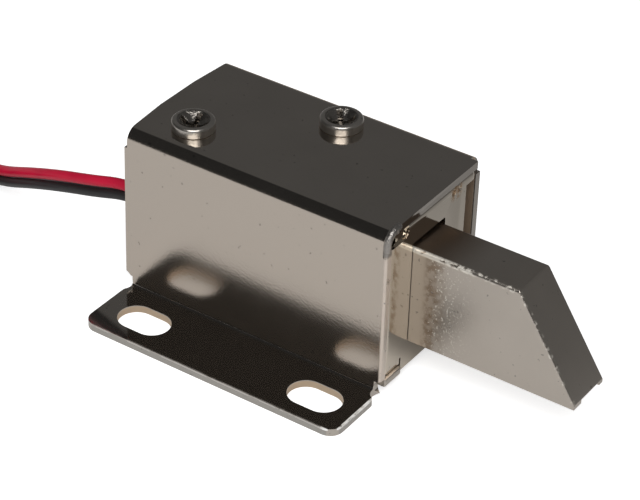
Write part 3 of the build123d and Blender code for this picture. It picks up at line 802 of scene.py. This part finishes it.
def lined_metal(colour, roughness, stretch):
    """Metal with fine tool lines; stretch is the pattern's scale along X, Y and Z."""
    def build(paint):
        place = paint.node("TexCoord", {}, {}, "Object")
        drawn = paint.node("Mapping", {}, {"Vector": place, "Scale": stretch})
        line = paint.node("TexNoise", {}, {"Vector": drawn, "Scale": 1.0, "Detail": 3.0})
        cloud = paint.node("TexNoise", {}, {"Vector": place, "Scale": 220.0, "Detail": 3.0})
        tone = (line * 0.6 + cloud * 0.4).blend(dimmed_to(0.78, colour), dimmed_to(1.08, colour))
        bump = paint.node("Bump", {}, {"Strength": 0.5, "Distance": 0.006 * mm, "Height": line})
        return paint.node("BsdfPrincipled", {}, {
            "Base Color": tone,
            "Metallic": 1.0,
            "Roughness": line * 0.15 + roughness,
            "Normal": bump,
        })
    return build


def dress(paint, *nodes):
    """Gives pieces that keep the shape of their solid a finish."""
    for node in nodes:
        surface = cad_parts[node].data
        surface.materials.clear()
        surface.materials.append(paint)


round_axis = (ground_lines, along_lines, along_lines)
dress(material("plunger_steel", lined_metal((0.60, 0.60, 0.60), 0.20, round_axis)),
      "plunger", "plunger_pin")


# The fixed core and the seat washer: soft iron, turned and zinc plated. The core is riveted
# into the yoke's rear leg, and the washer sits on the bobbin's front, under the spring.
dress(material("core_steel", lined_metal((0.55, 0.55, 0.54), 0.30, round_axis)),
      "fixed_core", "spring_washer")


# The guide tube: thin drawn brass in the bobbin's bore, with draw lines along it. The plunger
# slides in it.
along_axis = (along_lines, ground_lines, ground_lines)
dress(material("tube_brass", lined_metal((0.78, 0.60, 0.30), 0.22, along_axis)), "guide_tube")


# The bobbin: moulded in off-white nylon, a little cloudy, with a fine eroded grain from the
# mould. It holds the winding between its two cheeks and lies between the yoke's legs.
def moulded(colour, dark, roughness, grain, depth):
    """Plastic or rubber with soft clouds and a fine grain of the given scale and strength."""
    def build(paint):
        place = paint.node("TexCoord", {}, {}, "Object")
        cloud = paint.node("TexNoise", {}, {"Vector": place, "Scale": 190.0, "Detail": 4.0})
        fine = paint.node("TexNoise", {}, {"Vector": place, "Scale": grain, "Detail": 2.0})
        tone = cloud.blend((*dark, 1), (*colour, 1))
        bump = paint.node("Bump", {}, {"Strength": depth, "Distance": 0.02 * mm, "Height": fine})
        return paint.node("BsdfPrincipled", {}, {
            "Base Color": tone, "Roughness": cloud * 0.1 + roughness, "Normal": bump})
    return build


dress(material("bobbin_plastic", moulded(
    (0.84, 0.82, 0.77), (0.74, 0.71, 0.65), 0.42, 3200.0, 0.5)), "bobbin")


# The winding and its two tails: enamelled copper wire, wound layer on layer, so that the turns
# show as fine ridges with a red brown shine.
wire_pitch = 0.22


def wound_copper(paint):
    """Ridges one wire apart along the winding, with turns that vary in colour."""
    place = paint.node("TexCoord", {}, {}, "Object")
    [along] = place.axes("X")
    drift = paint.node("TexNoise", {}, {"Vector": place, "Scale": 260.0, "Detail": 2.0})
    ridge = along.math("SINE", along * (math.tau / (wire_pitch * mm)) + drift * 2.5)
    tone = (ridge * 0.3 + drift * 0.6).blend((0.34, 0.10, 0.035, 1), (0.72, 0.30, 0.13, 1))
    bump = paint.node("Bump", {}, {"Strength": 0.8, "Distance": 0.06 * mm, "Height": ridge})
    return paint.node("BsdfPrincipled", {}, {
        "Base Color": tone, "Metallic": 0.85, "Roughness": drift * 0.1 + 0.24, "Normal": bump})


dress(material("copper_wire", wound_copper), "winding", "coil_tails")


# The tape round the winding: amber polyester film that keeps the wire in place. It is wrapped
# with an overlap, so that the edge of each wrap shows as a darker step.
tape_step = 4.0


def amber_tape(paint):
    """Glossy film, darker and a little raised at the edge of each wrap."""
    place = paint.node("TexCoord", {}, {}, "Object")
    [along] = place.axes("X")
    cloud = paint.node("TexNoise", {}, {"Vector": place, "Scale": 150.0, "Detail": 3.0})
    wandering = along + cloud * 0.3 * mm
    wrap = along.math("PINGPONG", wandering, tape_step * mm) * (1 / (tape_step * mm))
    edge = step_between(wrap, 0.92, 0.97)
    tone = (edge * 0.5 + cloud * 0.5).blend((0.84, 0.60, 0.15, 1), (0.60, 0.36, 0.06, 1))
    bump = paint.node("Bump", {}, {"Strength": 0.5, "Distance": 0.05 * mm, "Height": edge})
    return paint.node("BsdfPrincipled", {}, {
        "Base Color": tone, "Roughness": cloud * 0.1 + 0.22, "Normal": bump})


dress(material("coil_tape", amber_tape), "winding_tape")


# The rubber pieces: the bumper on the fixed core, which takes the plunger's blow, and the
# grommet in the rear leg, which keeps the leads off the sheet's edge.
dress(material("black_rubber", moulded(
    (0.030, 0.030, 0.029), (0.016, 0.016, 0.016), 0.62, 2400.0, 0.9)),
    "bumper_washer", "lead_grommet")


# The sleeves over the soldered joints, where each lead meets a tail of the winding: black
# tubing with a satin skin, shrunk on with hot air.
dress(material("sleeve_black", moulded(
    (0.034, 0.034, 0.037), (0.020, 0.020, 0.022), 0.40, 1500.0, 0.7)), "lead_sleeves")


# The stretch of each lead inside the case, from the grommet to its sleeve: the same wire in
# the same insulation as outside.
for colour, paint in lead_paint.items():
    dress(paint, colour + "_lead_inner")
